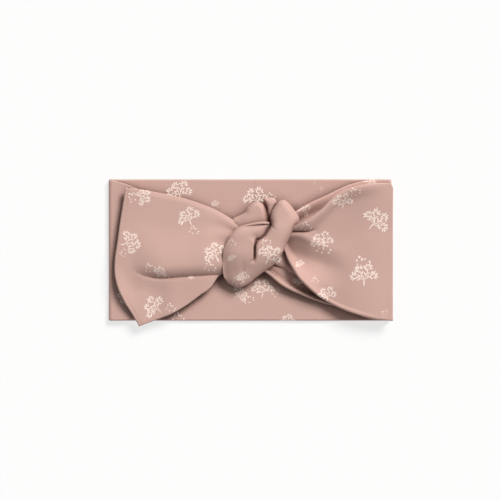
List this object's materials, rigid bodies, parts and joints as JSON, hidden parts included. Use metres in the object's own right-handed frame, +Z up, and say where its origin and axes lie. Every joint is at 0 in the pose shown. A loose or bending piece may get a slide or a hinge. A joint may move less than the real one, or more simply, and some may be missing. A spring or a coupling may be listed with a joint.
{
  "type": "knotted headband",
  "caption": "Wide double-layer jersey headband laid flat, with a knotted bow and two broad tails at the front; the loop opens and the tails lift.",
  "frame": {"origin": "middle of the flattened band, on the resting plane under its back", "axes": "+Z up through the knot, +Y towards the band's top edge, +X along the band's width to the straight-ended tail"},
  "size_m": [0.18, 0.0937, 0.0208],
  "materials": {
    "printed_jersey": "matte dusty-pink jersey with a small cream sprig print",
    "seam_allowance": "matte dusty-pink jersey, raw inner edge with matching thread",
    "label_satin": "soft white woven label with no lettering"
  },
  "bodies": {
    "back_centre_left": {"back_centre_left_outer_ply": "printed_jersey", "back_centre_left_inner_ply": "printed_jersey", "back_centre_left_top_seam": "seam_allowance", "back_centre_left_bottom_seam": "seam_allowance", "care_label": "label_satin"},
    "back_left": {"back_left_outer_ply": "printed_jersey", "back_left_inner_ply": "printed_jersey", "back_left_top_seam": "seam_allowance", "back_left_bottom_seam": "seam_allowance", "left_fold_outer_ply": "printed_jersey", "left_fold_inner_ply": "printed_jersey"},
    "front_left": {"front_left_outer_ply": "printed_jersey", "front_left_inner_ply": "printed_jersey", "front_left_top_seam": "seam_allowance", "front_left_bottom_seam": "seam_allowance"},
    "knot": {"knot_gather_left": "printed_jersey", "knot_gather_right": "printed_jersey", "left_tail_neck": "printed_jersey", "right_tail_neck": "printed_jersey", "knot_core": "printed_jersey", "knot_wrap_left": "printed_jersey", "knot_wrap_right": "printed_jersey", "knot_top_loop": "printed_jersey", "knot_tuck": "printed_jersey"},
    "front_right": {"front_right_outer_ply": "printed_jersey", "front_right_inner_ply": "printed_jersey", "front_right_top_seam": "seam_allowance", "front_right_bottom_seam": "seam_allowance"},
    "back_right": {"back_right_outer_ply": "printed_jersey", "back_right_inner_ply": "printed_jersey", "back_right_top_seam": "seam_allowance", "back_right_bottom_seam": "seam_allowance", "right_fold_outer_ply": "printed_jersey", "right_fold_inner_ply": "printed_jersey"},
    "back_centre_right": {"back_centre_right_outer_ply": "printed_jersey", "back_centre_right_inner_ply": "printed_jersey", "back_centre_right_top_seam": "seam_allowance", "back_centre_right_bottom_seam": "seam_allowance"},
    "left_tail": {"left_tail_back_ply": "printed_jersey", "left_tail_front_ply": "printed_jersey", "left_tail_top_seam": "seam_allowance", "left_tail_bottom_seam": "seam_allowance"},
    "left_tail_tip": {"left_tail_tip_back_ply": "printed_jersey", "left_tail_tip_front_ply": "printed_jersey", "left_tail_tip_seam": "seam_allowance"},
    "right_tail": {"right_tail_back_ply": "printed_jersey", "right_tail_front_ply": "printed_jersey", "right_tail_top_seam": "seam_allowance", "right_tail_bottom_seam": "seam_allowance"},
    "right_tail_tip": {"right_tail_tip_back_ply": "printed_jersey", "right_tail_tip_front_ply": "printed_jersey", "right_tail_tip_seam": "seam_allowance"}
  },
  "joints": [
    {"name": "loop_open", "type": "hinge", "parent": "back_centre_left", "child": "back_left", "pos_m": [-0.03, 0, 0.0022], "axis": [0, 1, 0], "range_deg": [0, 60]},
    {"name": "left_side_fold", "type": "hinge", "parent": "back_left", "child": "front_left", "pos_m": [-0.0876, 0, 0.0024], "axis": [0, 1, 0], "range_deg": [-120, 0]},
    {"name": "front_left_bend", "type": "hinge", "parent": "front_left", "child": "knot", "pos_m": [-0.03, 0, 0.0026], "axis": [0, 1, 0], "range_deg": [0, 60]},
    {"name": "front_right_bend", "type": "hinge", "parent": "knot", "child": "front_right", "pos_m": [0.03, 0, 0.0026], "axis": [0, 1, 0], "range_deg": [0, 60]},
    {"name": "right_side_fold", "type": "hinge", "parent": "front_right", "child": "back_right", "pos_m": [0.0876, 0, 0.0024], "axis": [0, 1, 0], "range_deg": [-120, 0]},
    {"name": "back_right_bend", "type": "hinge", "parent": "back_right", "child": "back_centre_right", "pos_m": [0.03, 0, 0.0022], "axis": [0, 1, 0], "range_deg": [0, 60]},
    {"name": "left_tail_lift", "type": "hinge", "parent": "knot", "child": "left_tail", "pos_m": [-0.024, 0, 0.0115], "axis": [0, 1, 0], "range_deg": [0, 80]},
    {"name": "left_tail_curl", "type": "hinge", "parent": "left_tail", "child": "left_tail_tip", "pos_m": [-0.055, 0, 0.0057], "axis": [0, 1, 0], "range_deg": [-40, 0]},
    {"name": "right_tail_lift", "type": "hinge", "parent": "knot", "child": "right_tail", "pos_m": [0.034, 0, 0.0111], "axis": [0, -1, 0], "range_deg": [0, 80]},
    {"name": "right_tail_curl", "type": "hinge", "parent": "right_tail", "child": "right_tail_tip", "pos_m": [0.062, 0, 0.0054], "axis": [0, -1, 0], "range_deg": [-40, 0]}
  ],
  "couplings": [
    {"joint": "left_side_fold", "follows": "loop_open", "ratio": -2},
    {"joint": "front_left_bend", "follows": "loop_open", "ratio": 1},
    {"joint": "front_right_bend", "follows": "loop_open", "ratio": 1},
    {"joint": "right_side_fold", "follows": "loop_open", "ratio": -2},
    {"joint": "back_right_bend", "follows": "loop_open", "ratio": 1},
    {"joint": "left_tail_curl", "follows": "left_tail_lift", "ratio": -0.5},
    {"joint": "right_tail_curl", "follows": "right_tail_lift", "ratio": -0.5}
  ]
}
